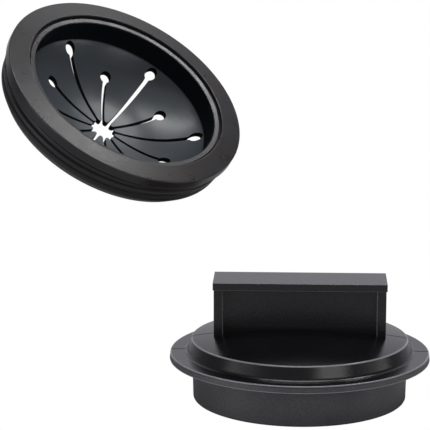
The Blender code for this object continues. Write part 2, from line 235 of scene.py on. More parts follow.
def inside(points, loops):
    """True for each point that lies in an odd number of the loops."""
    x, y = np.asarray(points, float).T
    odd = np.zeros(len(x), bool)
    for loop in loops:
        for (ax, ay), (bx, by) in zip(loop, loop[1:] + loop[:1]):
            if ay == by:
                continue
            crosses = (ay > y) != (by > y)
            odd ^= crosses & (x < (bx - ax) * (y - ay) / (by - ay) + ax)
    return odd


def fill(loops, spacing):
    """Points and triangles that fill the loops, which are the outline first and then its holes."""
    border, edges = [], []
    for loop in loops:
        first = len(border)
        edges += [(first + k, first + (k + 1) % len(loop)) for k in range(len(loop))]
        border += [tuple(point) for point in loop]
    rim = np.array(border)
    low, high = rim.min(0), rim.max(0)
    rows = np.arange(low[1], high[1], spacing * math.sqrt(0.75))
    grid = np.array([(x + (row % 2) * spacing / 2, y) for row, y in enumerate(rows)
                     for x in np.arange(low[0], high[0], spacing)])
    grid = grid[inside(grid, loops)]
    nearest = np.sqrt(((grid[:, None] - rim[None]) ** 2).sum(2)).min(1)
    grid = grid[nearest > 0.6 * spacing]
    points = [Vector(point) for point in border + [tuple(point) for point in grid]]
    found, _, triangles, *_ = delaunay_2d_cdt(points, edges, [], 0, 1e-6)
    middles = [sum((found[k] for k in triangle), Vector((0, 0))) / 3 for triangle in triangles]
    kept = inside(middles, loops)
    kept &= [area_tri(*(found[k] for k in triangle)) > MERGE for triangle in triangles]
    return found, [triangle for triangle, keep in zip(triangles, kept) if keep]


def border_edges(triangles):
    """Edges that only one triangle has, in that triangle's direction."""
    seen = {}
    for triangle in triangles:
        for a, b in zip(triangle, triangle[1:] + triangle[:1]):
            seen.setdefault(frozenset((a, b)), []).append((a, b))
    return [found[0] for found in seen.values() if len(found) == 1]


def sheet(plan, triangles, has_wall):
    """Vertices, faces and wall faces of the bowl's rubber over a plan."""
    count = len(plan)
    verts = [(x, y, bowl_height(math.hypot(x, y))) for x, y in plan]
    verts += [(x, y, z - BOWL_THICKNESS) for x, y, z in verts]
    faces = [tuple(triangle) for triangle in triangles]
    faces += [tuple(k + count for k in reversed(triangle)) for triangle in triangles]
    walls = [(a, a + count, b + count, b) for a, b in border_edges(triangles)
             if has_wall((plan[a] + plan[b]) / 2)]
    return verts, faces, walls


def make_piece(name, verts, faces, to_row, materials, material_of=None):
    """Closed mesh object in the row frame that keeps its own place in mm in an attribute."""
    work = bmesh.new()
    made = [work.verts.new(vert) for vert in verts]
    for face in faces:
        if len(set(face)) > 2:
            work.faces.new([made[k] for k in face])
    bmesh.ops.remove_doubles(work, verts=work.verts[:], dist=MERGE)
    bmesh.ops.recalc_face_normals(work, faces=work.faces[:])
    if material_of:
        for face in work.faces:
            face.material_index = material_of(face)
    mesh = bpy.data.meshes.new(name)
    work.to_mesh(mesh)
    work.free()
    return finish_piece(name, mesh, to_row, materials, SKIN_SHARP)


def mark_edges(mesh):
    """Give each face an edge attribute: 1 on the narrow faces of a rounded outer edge, else 0; the
    materials paint highlights on these faces.
    """
    work = bmesh.new()
    work.from_mesh(mesh)
    values = np.zeros(len(work.faces), np.float32)
    for face in work.faces:
        turns = [math.degrees(edge.calc_face_angle_signed(0.0)) for edge in face.edges]
        width = face.calc_area() / max(edge.calc_length() for edge in face.edges)
        is_rounded = any(EDGE_TURN < turn < SHARPEST_TURN for turn in turns)
        values[face.index] = is_rounded and width < EDGE_WIDTH
    work.free()
    attribute = mesh.attributes.new("edge", "FLOAT", "FACE")
    attribute.data.foreach_set("value", values)


def finish_piece(name, mesh, to_row, materials, sharp):
    """Object in the row frame from a mesh in mm; edges turn sharp beyond the given degrees."""
    mark_edges(mesh)
    place = mesh.attributes.new("place", "FLOAT_VECTOR", "POINT")
    coordinates = np.zeros(3 * len(mesh.vertices), np.float32)
    mesh.vertices.foreach_get("co", coordinates)
    place.data.foreach_set("vector", coordinates)
    mesh.transform(to_row @ Matrix.Scale(MM, 4))
    for material in materials:
        mesh.materials.append(material)
    mesh.shade_smooth()
    mesh.set_sharp_from_angle(angle=math.radians(sharp))
    piece = bpy.data.objects.new(name, mesh)
    bpy.context.scene.collection.objects.link(piece)
    return piece


# --- Materials ------------------------------------------------------------------------------


class Recipe:
    """Principled material built from nodes; its textures run on the place attribute, in mm."""

    def __init__(self, name, **sockets):
        self.material = bpy.data.materials.new(name)
        self.material.use_nodes = True
        self.tree = self.material.node_tree
        self.shader = self.tree.nodes["Principled BSDF"]
        for socket, value in sockets.items():
            self.shader.inputs[socket.replace("_", " ")].default_value = value
        self.place = self.add("ShaderNodeAttribute", attribute_name="place").outputs["Vector"]

    def add(self, kind, **settings):
        node = self.tree.nodes.new(kind)
        for name, value in settings.items():
            setattr(node, name, value)
        return node

    def put(self, socket, source):
        """Link the socket to a source socket, or set it to a plain value."""
        if isinstance(source, bpy.types.NodeSocket):
            self.tree.links.new(source, socket)
        else:
            socket.default_value = source

    def feed(self, node, **sources):
        for name, source in sources.items():
            self.put(node.inputs[name.replace("_", " ")], source)
        return node

    def noise(self, size, detail=2.0, roughness=0.5, stretch=(1.0, 1.0, 1.0)):
        """Noise from about 0 to 1 whose lumps are about size mm across."""
        mapping = self.feed(self.add("ShaderNodeMapping"), Vector=self.place, Scale=stretch)
        node = self.feed(self.add("ShaderNodeTexNoise"), Vector=mapping.outputs[0],
                         Scale=1 / size, Detail=detail, Roughness=roughness)
        return node.outputs["Fac"]

    def spread(self, value, low, high, to_low=0.0, to_high=1.0):
        """Value that eases from to_low to to_high as the given value goes from low to high."""
        node = self.add("ShaderNodeMapRange", interpolation_type="SMOOTHSTEP")
        self.feed(node, Value=value, From_Min=low, From_Max=high, To_Min=to_low, To_Max=to_high)
        return node.outputs["Result"]

    def compute(self, operation, first, second):
        node = self.add("ShaderNodeMath", operation=operation)
        for socket, source in zip(node.inputs, (first, second)):
            self.put(socket, source)
        return node.outputs[0]

    def mix(self, factor, first, second):
        """Colour between two colours, each an RGB tuple or a socket."""
        node = self.add("ShaderNodeMix", data_type="RGBA")
        sockets = [item for item in node.inputs if item.type == "RGBA"]
        for socket, source in zip(sockets, (first, second)):
            is_plain = isinstance(source, tuple)
            self.put(socket, (*source, 1.0) if is_plain else source)
        self.put(node.inputs[0], factor)
        return next(item for item in node.outputs if item.type == "RGBA")

    def mark(self, name):
        """Value of a mesh attribute from 0 to 1."""
        return self.add("ShaderNodeAttribute", attribute_name=name).outputs["Fac"]

    def above(self, heights):
        """Value that eases from 0 at the first height to 1 at the second."""
        height = self.feed(self.add("ShaderNodeSeparateXYZ"), Vector=self.place).outputs["Z"]
        return self.spread(height, *heights)

    def bump(self, height, depth):
        """Relief of the given depth in mm."""
        node = self.feed(self.add("ShaderNodeBump"), Height=height, Distance=depth * MM)
        self.tree.links.new(node.outputs["Normal"], self.shader.inputs["Normal"])

    def paint(self, colour, roughness):
        self.tree.links.new(colour, self.shader.inputs["Base Color"])
        self.tree.links.new(roughness, self.shader.inputs["Roughness"])


def collar_rubber():
    """Moulded rubber of the collar: warm and cool clouds, fine grain, painted shade in its recesses
    and on its neck, painted highlights on its rounded edges.
    """
    recipe = Recipe("collar_rubber_look", Specular_IOR_Level=0.5)
    clouds = recipe.spread(recipe.noise(26.0, 1.5), 0.38, 0.62)
    skin = recipe.mix(clouds, (0.011, 0.011, 0.014), (0.016, 0.011, 0.011))
    grain = recipe.noise(0.35, 3.0, 0.6)
    skin = recipe.mix(recipe.spread(grain, 0.3, 0.7, 0.0, 0.25), skin, (0.006, 0.006, 0.007))
    # Painted highlight: the narrow faces of rounded edges, such as the neck's ridge crests, are
    # painted lighter.
    skin = recipe.mix(recipe.mark("edge"), skin, (0.024, 0.024, 0.027))
    # Painted shade: the lip's step, the grooves, the barrel and the neck are painted darker where
    # shade falls, and made rougher.
    painted_shade = recipe.mark("painted_shade")
    skin = recipe.mix(painted_shade, skin, (0.0015, 0.0018, 0.0022))
    rough = recipe.spread(recipe.noise(6.0, 3.0), 0.3, 0.7, 0.27, 0.32)
    rough = recipe.compute("ADD", rough, recipe.compute("MULTIPLY", painted_shade, 0.4))
    recipe.paint(skin, rough)
    recipe.bump(grain, 0.006)
    return recipe.material


def bowl_rubber():
    """Thin rubber of the slit bowl, smoother and a little cooler than the collar."""
    recipe = Recipe("bowl_rubber_look", Specular_IOR_Level=0.45)
    clouds = recipe.spread(recipe.noise(18.0, 2.0), 0.35, 0.65)
    skin = recipe.mix(clouds, (0.062, 0.075, 0.085), (0.067, 0.079, 0.089))
    grain = recipe.noise(0.3, 3.0, 0.6)
    skin = recipe.mix(recipe.spread(grain, 0.3, 0.7, 0.0, 0.2), skin, (0.048, 0.056, 0.060))
    rough = recipe.spread(recipe.noise(5.0, 3.0), 0.3, 0.7, 0.29, 0.34)
    recipe.paint(skin, rough)
    recipe.bump(grain, 0.004)
    return recipe.material


def throat_painted_shade():
    """Wall of the throat: painted shade, smooth, blue-black and dull, far darker than the rubber to
    stand for the shade inside the throat.
    """
    recipe = Recipe("throat_painted_shade_look", Specular_IOR_Level=0.12)
    clouds = recipe.spread(recipe.noise(14.0, 2.0), 0.35, 0.65)
    grain = recipe.noise(0.4, 3.0, 0.6)
    recipe.paint(recipe.mix(clouds, (0.0026, 0.0044, 0.0058), (0.0034, 0.0052, 0.0066)),
                 recipe.spread(grain, 0.3, 0.7, 0.5, 0.6))
    recipe.bump(grain, 0.004)
    return recipe.material


def cut_painted_shade():
    """Punched and slit edges: painted shade, matt and almost black, standing for the shade on the
    walls of slits and holes.
    """
    recipe = Recipe("cut_painted_shade_look", Specular_IOR_Level=0.15)
    streaks = recipe.noise(0.25, 3.0, 0.6, stretch=(1.0, 1.0, 0.25))
    colour = recipe.mix(recipe.spread(streaks, 0.3, 0.7), (0.0010, 0.0010, 0.0012),
                        (0.0032, 0.0032, 0.0034))
    recipe.paint(colour, recipe.spread(streaks, 0.3, 0.7, 0.8, 0.95))
    recipe.bump(streaks, 0.01)
    return recipe.material


def stopper_plastic():
    """Black moulded plastic: glossy grain on top, a duller skirt painted paler as painted light, a
    handle painted lighter as painted light, painted highlights on its edges.
    """
    recipe = Recipe("stopper_plastic_look", Specular_IOR_Level=0.5)
    # Below the given heights the plastic turns duller, its satin finish, and paler, which is
    # painted light standing for the light the skirt catches from the floor and the front.
    satin = recipe.above(SATIN_AND_PAINTED_LIGHT_HEIGHTS)
    clouds = recipe.spread(recipe.noise(9.0, 3.0), 0.35, 0.65)
    black = recipe.mix(clouds, (0.0040, 0.0038, 0.0050), (0.0056, 0.0054, 0.0068))
    # Painted light: above the given heights the handle's black is painted lighter, standing for the
    # light its web and ribs catch from the front.
    black = recipe.mix(recipe.above(HANDLE_PAINTED_LIGHT_HEIGHTS), black, (0.0145, 0.0140, 0.0170))
    grey = recipe.mix(clouds, (0.080, 0.079, 0.086), (0.092, 0.091, 0.098))
    grain = recipe.noise(0.42, 4.0, 0.65)
    speck = recipe.spread(grain, 0.35, 0.7, 0.0, 0.4)
    colour = recipe.mix(speck, recipe.mix(satin, black, grey), (0.004, 0.004, 0.004))
    # Painted highlight: above the given heights the narrow faces of rounded edges are painted pale,
    # standing for the highlight lines along them, and made glossier.
    edge = recipe.compute("MULTIPLY", recipe.mark("edge"), recipe.above(PAINTED_HIGHLIGHT_HEIGHTS))
    colour = recipe.mix(edge, colour, (0.26, 0.26, 0.28))
    rough = recipe.spread(grain, 0.3, 0.7, 0.18, 0.25)
    rough = recipe.compute("ADD", rough, recipe.compute("MULTIPLY", satin, 0.3))
    rough = recipe.compute("SUBTRACT", rough, recipe.compute("MULTIPLY", edge, 0.09))
    recipe.paint(colour, rough)
    recipe.bump(grain, 0.022)
    return recipe.material


def stage_white():
    """Paper white to the eye; to the object it is a pale floor in soft light."""
    material = bpy.data.materials.new("stage_white")
    material.use_nodes = True
    tree = material.node_tree
    tree.nodes.remove(tree.nodes["Principled BSDF"])
    paper = tree.nodes.new("ShaderNodeBsdfDiffuse")
    paper.inputs["Color"].default_value = (0.6, 0.6, 0.6, 1.0)
    glow = tree.nodes.new("ShaderNodeEmission")
    glow.inputs["Color"].default_value = (1.0, 1.0, 1.0, 1.0)
    light_path = tree.nodes.new("ShaderNodeLightPath")
    choice = tree.nodes.new("ShaderNodeMixShader")
    tree.links.new(light_path.outputs["Is Camera Ray"], choice.inputs["Fac"])
    tree.links.new(paper.outputs[0], choice.inputs[1])
    tree.links.new(glow.outputs[0], choice.inputs[2])
    tree.links.new(choice.outputs[0], tree.nodes["Material Output"].inputs["Surface"])
    return material


# --- Splash guard ---------------------------------------------------------------------------


def bowl_height(radius):
    """Height of the bowl's upper face, lowest on the axis and steepest at the throat's wall."""
    climb = (radius / THROAT_RADIUS) ** BOWL_POWER
    return -BOWL_DEPTH + (BOWL_DEPTH + WALL_FOOT) * climb


def slot_half_width(radius):
    """A slot widens from the centre hole to its relief hole."""
    share = (radius - CENTRE_HOLE) / (SHORT_SLOT - CENTRE_HOLE)
    width = SLOT_WIDTH_INSIDE + (SLOT_WIDTH_OUTSIDE - SLOT_WIDTH_INSIDE) * min(share, 1.0)
    return width / 2


def guard_to_row():
    """The guard's own frame in the row frame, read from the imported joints."""
    joints = {joint["name"]: joint for joint in frame["joints"]}
    axis = Vector(joints["guard_lift"]["axis"]).normalized()
    hinges = [Vector(joints[f"petal_{k + 1}_fold"]["pos_m"]) for k in range(PETAL_COUNT)]
    middle = sum(hinges, Vector()) / PETAL_COUNT
    hinge_height = (bowl_height(PETAL_HINGE) - BOWL_THICKNESS) * MM
    first_petal = (hinges[0] - middle).normalized()
    across = Matrix.Rotation(-PETAL_ANGLE / 2, 3, axis) @ first_petal
    turn = Matrix((across, axis.cross(across), axis)).transposed().to_4x4()
    return Matrix.Translation(middle - axis * hinge_height) @ turn


def even_run(start, end):
    """Points from start up to end, which isn't among them."""
    count = max(1, round((end - start).length / OUTLINE_SPACING))
    return [start.lerp(end, k / count) for k in range(count)]


def slot_edge(slot_angle, leaf_side, distance):
    """Point on a slot's edge; leaf_side is 1 where the leaf lies anticlockwise of the slot."""
    sideways = polar(1.0, slot_angle + leaf_side * math.pi / 2)
    return polar(distance, slot_angle) + sideways * slot_half_width(distance)


def slot_edge_at_seam(slot_angle, leaf_side, seam_angle, seam_distance):
    """Where a slot's edge meets a seam, which lies square to the seam angle."""
    sideways = polar(1.0, slot_angle + leaf_side * math.pi / 2)
    offset = slot_half_width(seam_distance) * sideways.dot(polar(1.0, seam_angle))
    distance = (seam_distance - offset) / math.cos(slot_angle - seam_angle)
    return slot_edge(slot_angle, leaf_side, distance)


def relief_arc(slot_angle, hole_distance, start, end, steps=10):
    """Arc of a relief hole from start up to end, less than half a turn."""
    centre = polar(hole_distance, slot_angle)
    from_angle = math.atan2(*(start - centre).yx)
    turn = math.atan2(*(end - centre).yx) - from_angle
    turn = (turn + math.pi) % (2 * math.pi) - math.pi
    return [centre + polar(RELIEF_RADIUS, from_angle + turn * k / steps) for k in range(steps)]


def seam_meets_hole(slot_angle, hole_distance, seam_angle, seam_distance):
    """Where a seam runs into the relief hole at its end."""
    centre = polar(hole_distance, slot_angle)
    along = polar(1.0, seam_angle + math.pi / 2)
    along *= math.copysign(1.0, math.sin(seam_angle - slot_angle))
    miss = seam_distance - centre.dot(polar(1.0, seam_angle))
    return centre + polar(miss, seam_angle) + along * math.sqrt(RELIEF_RADIUS ** 2 - miss ** 2)


def slot_leaves_hole(slot_angle, leaf_side, hole_distance):
    reach = math.sqrt(RELIEF_RADIUS ** 2 - slot_half_width(hole_distance) ** 2)
    return slot_edge(slot_angle, leaf_side, hole_distance - reach)


def petal_half():
    """Half of a petal's outline, from the seam with the collar to the middle of its notch."""
    slot = PETAL_ANGLE / 2
    root = seam_meets_hole(slot, LONG_SLOT, 0.0, PETAL_SEAM)
    side = slot_leaves_hole(slot, -1, LONG_SLOT)
    seam = slot_edge_at_seam(slot, -1, TIP_ANGLE / 2, TIP_SEAM)
    notch = seam_meets_hole(0.0, SHORT_SLOT, TIP_ANGLE / 2, TIP_SEAM)
    notch_end = Vector((SHORT_SLOT + RELIEF_RADIUS, 0.0))
    return (even_run(Vector((PETAL_SEAM, 0.0)), root) + relief_arc(slot, LONG_SLOT, root, side)
            + even_run(side, seam) + even_run(seam, notch)
            + relief_arc(0.0, SHORT_SLOT, notch, notch_end) + [notch_end])


def mirrored_loop(half):
    """Closed outline whose first and last points lie on the mirror line y = 0."""
    return half + [Vector((x, -y)) for x, y in reversed(half[1:-1])]


def tip_end(corner, steps=7):
    """Rounded end of a tip, from one corner on a slot to the other; the corner has y above 0."""
    points = []
    for step in range(2 * steps + 1):
        share = 1 - step / steps
        across = math.copysign(abs(share) ** 0.75, share)
        reach = TIP_REACH + (corner.x - TIP_REACH) * abs(across) ** 3
        points.append(Vector((reach, corner.y * across)))
    return points


def tip_loop(short_slot_side):
    """Outline of a tip; x points outwards along its middle."""
    slot = short_slot_side * TIP_ANGLE / 2
    root = seam_meets_hole(slot, SHORT_SLOT, 0.0, TIP_SEAM)
    side = slot_leaves_hole(slot, -short_slot_side, SHORT_SLOT)
    short_corner = slot_edge(slot, -short_slot_side, CENTRE_HOLE)
    long_corner = slot_edge(-slot, short_slot_side, CENTRE_HOLE)
    long_root = slot_edge_at_seam(-slot, short_slot_side, 0.0, TIP_SEAM)
    end = tip_end(short_corner if short_slot_side > 0 else long_corner)
    if short_slot_side < 0:
        end = end[::-1]
    return (relief_arc(slot, SHORT_SLOT, root, side) + even_run(side, short_corner) + end
            + even_run(long_corner, long_root)[1:] + even_run(long_root, root))


def turn_plan(points, angle):
    return [Matrix.Rotation(angle, 2) @ point for point in points]


def spot_key(point):
    return tuple(round(c, 3) for c in point)


def leaf_piece(name, loop, angle, is_seam, to_row, materials):
    """Petal or tip: the bowl's rubber over the loop, with the walls of its slits and holes painted
    near-black as painted shade.
    """
    plan, triangles = fill([loop], LEAF_SPACING)
    unturn = Matrix.Rotation(-angle, 2)
    verts, faces, walls = sheet(turn_plan(plan, angle), triangles, lambda middle: True)
    wall_middles = [np.mean([verts[k] for k in wall], 0) for wall in walls]
    cut_spots = {spot_key(middle) for middle in wall_middles
                 if not is_seam(unturn @ Vector(middle[:2]))}

    def material_of(face):
        return int(spot_key(np.mean([vert.co for vert in face.verts], 0)) in cut_spots)

    return make_piece(name, verts, faces + walls, to_row, materials, material_of)


def bend(piece, angle, start, end, to_row):
    """Bake the piece's transform into its mesh; the strip's end points on its middle line are
    worked out but not used.
    """
    height = bowl_height(start)
    first, last = (to_row @ (Vector((*polar(distance, angle), height)) * MM)
                   for distance in (start, end))
    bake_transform(piece)
    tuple(first)
    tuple(last)


def make_petals(to_row, materials):
    loop = mirrored_loop(petal_half())

    def is_seam(point):
        tip_distance = max(point.dot(polar(1.0, side * TIP_ANGLE / 2)) for side in (1, -1))
        return abs(point.x - PETAL_SEAM) < MERGE or abs(tip_distance - TIP_SEAM) < MERGE

    for index in range(PETAL_COUNT):
        angle = (index + 0.5) * PETAL_ANGLE
        name = f"guard_petal_{index + 1}"
        piece = leaf_piece(f"{name}_skin", loop, angle, is_seam, to_row, materials)
        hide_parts(name)
        bend(piece, angle, PETAL_SEAM, PETAL_BENT, to_row)


def make_tips(to_row, materials):
    def is_seam(point):
        return abs(point.x - TIP_SEAM) < MERGE

    for index in range(2 * PETAL_COUNT):
        angle = (index + 0.5) * TIP_ANGLE
        loop = tip_loop(1 if index % 2 == 0 else -1)
        name = f"guard_tip_{index + 1:02d}"
        piece = leaf_piece(f"{name}_skin", loop, angle, is_seam, to_row, materials)
        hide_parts(name)
        bend(piece, angle, TIP_SEAM, TIP_BENT,
             to_row)


def collar_section():
    """Open section of the collar from the bowl's rim up the throat, round outside and back."""
    corners = [
        (RIM_JOIN, bowl_height(RIM_JOIN), 0.0),
        (THROAT_RADIUS, WALL_FOOT + 0.15, 0.0),
        (THROAT_RADIUS, LIP_INNER_HEIGHT, 0.3),
        (LIP_RADIUS, LIP_OUTER_HEIGHT, 0.2),
        (LIP_RADIUS + 0.12, LIP_OUTER_HEIGHT - STEP_DEPTH, 0.08),
        (FLANGE_INSIDE, LIP_OUTER_HEIGHT - 0.3, 0.08),
        (FLANGE_INSIDE, FLANGE_RISE, 0.25),
        (FLANGE_RADIUS, 0.0, 0.35),
        (FLANGE_RADIUS, FLANGE_BOTTOM, 0.3),
        (SEAT_INSIDE, FLANGE_BOTTOM, 0.15),
    ]
    for groove, ridge in zip(GROOVES, RIDGE_RADII):
        corners.append((GROOVE_RADIUS, groove, 0.3))
        corners.append((ridge, groove - GROOVE_HALF_WIDTH, 0.3))
        if groove != GROOVES[-1]:
            corners.append((ridge, groove + GROOVES[1] - GROOVES[0] + GROOVE_HALF_WIDTH, 0.3))
    corners += [
        (RIDGE_RADII[-1], BARREL_FOOT, 2.0),
        (NECK_FOOT_RADIUS, NECK_BOTTOM, 0.6),
        (CHANNEL_OUTSIDE, NECK_BOTTOM, 0.3),
        (CHANNEL_OUTSIDE, CHANNEL_TOP, 0.8),
        (CHANNEL_INSIDE, CHANNEL_TOP, 0.8),
        (CHANNEL_INSIDE, WALL_FOOT - BOWL_THICKNESS, 0.8),
        (RIM_JOIN, bowl_height(RIM_JOIN) - BOWL_THICKNESS, 0.0),
    ]
    return rounded_outline(corners)


def collar_opening():
    """Opening that the petals' skins fill, with the outer arcs of the long relief holes."""
    loop = []
    for index in range(PETAL_COUNT):
        slot = index * PETAL_ANGLE
        arrive = seam_meets_hole(slot, LONG_SLOT, slot - PETAL_ANGLE / 2, PETAL_SEAM)
        leave = seam_meets_hole(slot, LONG_SLOT, slot + PETAL_ANGLE / 2, PETAL_SEAM)
        outermost = polar(LONG_SLOT + RELIEF_RADIUS, slot)
        loop += relief_arc(slot, LONG_SLOT, arrive, outermost)
        loop += relief_arc(slot, LONG_SLOT, outermost, leave)
        middle = polar(PETAL_SEAM, slot + PETAL_ANGLE / 2)
        arrive_next = seam_meets_hole(slot + PETAL_ANGLE, LONG_SLOT, slot + PETAL_ANGLE / 2,
                                      PETAL_SEAM)
        loop += even_run(leave, middle) + even_run(middle, arrive_next)
    return loop


def collar_material(face):
    """Slot of a face of the collar, from its place and the way it faces."""
    middle = face.calc_center_median()
    radius = middle.xy.length
    is_level = abs(face.normal.z) > 0.3
    is_at_wall = abs(radius - THROAT_RADIUS) < 0.1
    if is_at_wall and WALL_FOOT < middle.z < LIP_INNER_HEIGHT - 0.3 and not is_level:
        return THROAT_SHADE
    if radius > THROAT_RADIUS - 0.1 or middle.z > WALL_FOOT:
        return COLLAR
    is_in_hole = radius > PETAL_SEAM / math.cos(PETAL_ANGLE / 2) - 1.5
    return CUT_SHADE if is_in_hole and not is_level else BOWL


def mark_painted_shade(mesh):
    """Give each point an attribute of painted shade: up to 1 in the lip's step, the grooves and the
    barrel, and some over the whole neck.
    """
    place = np.zeros(3 * len(mesh.vertices), np.float32)
    mesh.attributes["place"].data.foreach_get("vector", place)
    x, y, z = place.reshape(-1, 3).T
    radius = np.hypot(x, y)
    in_step = (radius > LIP_RADIUS) & (radius < FLANGE_INSIDE + 0.02)
    in_step &= (z > LIP_OUTER_HEIGHT - 1.0) & (z < FLANGE_RISE - 0.3)
    on_neck = (radius > CHANNEL_OUTSIDE + 0.2) & (radius < RIDGE_RADII[0] + 0.1)
    on_neck &= z < FLANGE_BOTTOM - 0.05
    groove = ((RIDGE_RADII[-1] - 0.05 - radius) / GROOVE_FADE).clip(0, 1) * (z > BARREL_FOOT)
    barrel = (1 - (GROOVES[-1] - z) / BARREL_FADE).clip(0, 1) * (z < GROOVES[-1])
    neck = on_neck * (NECK_SHADE + np.maximum(groove, BARREL_SHADE * barrel))
    painted_shade = mesh.attributes.new("painted_shade", "FLOAT", "POINT")
    painted_shade.data.foreach_set("value", (in_step + neck).clip(0, 1).astype(np.float32))


def make_collar(to_row, materials):
    verts, faces = turned(collar_section())
    circle = [polar(RIM_JOIN, 2 * math.pi * k / STEPS) for k in range(STEPS)]
    plan, triangles = fill([circle, collar_opening()], RIM_SPACING)
    rim_verts, rim_faces, walls = sheet(plan, triangles,
                                        lambda middle: middle.length < RIM_JOIN - 0.1)
    first = len(verts)
    verts = verts + rim_verts
    faces = faces + [tuple(k + first for k in face) for face in rim_faces + walls]

    piece = make_piece("guard_collar_skin", verts, faces, to_row, materials, collar_material)
    mark_painted_shade(piece.data)
    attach(piece, "guard")
    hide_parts("guard_collar")


def make_guard():
    to_row = guard_to_row()
    # The throat's material is painted shade, a near-black stand-in for the shade on the throat's
    # wall.
    collar, bowl, cut_shade, throat = collar_rubber(), bowl_rubber(), cut_painted_shade(), throat_painted_shade()
    make_collar(to_row, [collar, bowl, cut_shade, throat])
    make_petals(to_row, [bowl, cut_shade])
    make_tips(to_row, [bowl, cut_shade])


# --- Stopper --------------------------------------------------------------------------------


def crown_height(radius):
    """Height of the cap's gently domed top."""
    return CROWN_HEIGHT - (CROWN_HEIGHT - SHOULDER_TOP) * (radius / SHOULDER_RADIUS) ** 2


def cap_outside():
    """Section of the cap's outside, from its axis to the foot of its skirt."""
    crown = [Vector((radius, crown_height(radius))) for radius in np.linspace(0.0, 33.0, 23)]
    return crown + rounded_outline([
        (0.0, crown_height(0.0), 0.0),
        (SHOULDER_RADIUS, SHOULDER_TOP, 0.55),
        (SHOULDER_FOOT, SEAT_TOP, 1.2),
        (SEAT_TOP_RADIUS, SEAT_TOP, 0.35),
        (SEAT_RADIUS, SEAT_BOTTOM, 0.25),
        (SKIRT_RADIUS, SEAT_BOTTOM, 0.5),
        (SKIRT_FOOT_RADIUS, 0.0, 0.7),
        (SKIRT_FOOT_RADIUS - CAP_WALL, 0.0, 0.6),
        (SHOULDER_RADIUS - CAP_WALL, SHOULDER_TOP - CAP_WALL, 1.0),
        (0.0, crown_height(0.0) - CAP_WALL, 0.0),
    ])[1:-1]


def box_mesh(name, low, high):
    work = bmesh.new()
    bmesh.ops.create_cube(work, size=1.0)
    for vert in work.verts:
        vert.co = [(a + b) / 2 + c * (b - a) for a, b, c in zip(low, high, vert.co)]
    mesh = bpy.data.meshes.new(name)
    work.to_mesh(mesh)
    work.free()
    return mesh


def prism_mesh(name, outline, low, high, axis):
    """Prism of a plan outline between two heights; axis "Y" stands the outline up in XZ."""
    work = bmesh.new()
    face = work.faces.new([work.verts.new((x, y, low)) for x, y in outline])
    raised = bmesh.ops.extrude_face_region(work, geom=[face])["geom"]
    moved = [item for item in raised if isinstance(item, bmesh.types.BMVert)]
    bmesh.ops.translate(work, verts=moved, vec=(0.0, 0.0, high - low))
    if axis == "Y":
        for vert in work.verts:
            vert.co = (vert.co.x, vert.co.z, vert.co.y)
    bmesh.ops.recalc_face_normals(work, faces=work.faces[:])
    if work.calc_volume(signed=True) < 0.0:
        bmesh.ops.reverse_faces(work, faces=work.faces[:])
    mesh = bpy.data.meshes.new(name)
    work.to_mesh(mesh)
    work.free()
    return mesh


def combine(base, steps, bevel=None):
    """Mesh that Booleans and an optional (width, segments) bevel make from the base mesh."""
    body = bpy.data.objects.new("work_body", base)
    helpers = [body]
    bpy.context.scene.collection.objects.link(body)
    for operation, mesh in steps:
        helper = bpy.data.objects.new("work_helper", mesh)
        bpy.context.scene.collection.objects.link(helper)
        helpers.append(helper)
        modifier = body.modifiers.new(operation, "BOOLEAN")
        modifier.operation = operation
        modifier.solver = "EXACT"
        modifier.object = helper
    if bevel:
        modifier = body.modifiers.new("edges", "BEVEL")
        modifier.width, modifier.segments = bevel
        modifier.limit_method = "ANGLE"
        modifier.angle_limit = math.radians(40.0)
    bpy.context.view_layer.update()
    depsgraph = bpy.context.evaluated_depsgraph_get()
    result = bpy.data.meshes.new_from_object(body.evaluated_get(depsgraph))
    for helper in helpers:
        bpy.data.objects.remove(helper)
    return result


def parting_cutter():
    """Thin upright slab over the cap, which sinks the mould's parting line into its outside."""
    section = cap_outside()
    widest = max(range(len(section)), key=lambda k: section[k].x)
    sunk = []
    for before, point, after in zip(section[1:], section[2:widest], section[3:]):
        along = (after - before).normalized()
        sunk.append(point + Vector((along.y, -along.x)) * PARTING_DEPTH)
    clear = SEAT_RADIUS + 3.0
    right = [tuple(point) for point in sunk]
    right += [(SEAT_RADIUS - PARTING_DEPTH, SEAT_BOTTOM - 0.2), (clear, SEAT_BOTTOM - 0.2)]
    right.append((clear, CROWN_HEIGHT + 3.0))
    outline = right + [(-x, y) for x, y in reversed(right)]
    return prism_mesh("parting", outline, -PARTING_WIDTH / 2, PARTING_WIDTH / 2, "Y")


def make_cap(to_row, plastic):
    verts, faces = turned(cap_outside() + [Vector((0.0, crown_height(0.0) - CAP_WALL))])
    base = make_piece("cap_base", verts, faces, Matrix.Scale(1 / MM, 4), [])
    base_mesh = base.data
    bpy.data.objects.remove(base)
    long, thin = STIFFENER_LENGTH / 2, STIFFENER_THICKNESS / 2
    ribs = [("UNION", box_mesh("rib", (-x, -y, STIFFENER_FOOT), (x, y, STIFFENER_TOP)))
            for x, y in ((long, thin), (thin, long))]
    mesh = combine(base_mesh, [*ribs, ("DIFFERENCE", parting_cutter())])
    for name in ("place", "edge"):
        mesh.attributes.remove(mesh.attributes[name])
    piece = finish_piece("stopper_cap_skin", mesh, to_row, [plastic], CAP_SHARP)
    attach(piece, "stopper")
    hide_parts("stopper_cap")


def stem_outline():
    """Plan of what holds up the bar: a thin web between two deeper end ribs."""
    end_x = HANDLE_LENGTH / 2 - END_RIB_INSET
    rib_x = end_x - END_RIB_THICKNESS
    rib_y = END_RIB_DEPTH / 2
    web_y = WEB_THICKNESS / 2
    quarter = [(end_x, rib_y), (rib_x, rib_y), (rib_x, web_y)]
    upper = quarter + [(-x, y) for x, y in reversed(quarter)]
    return upper + [(-x, -y) for x, y in upper]


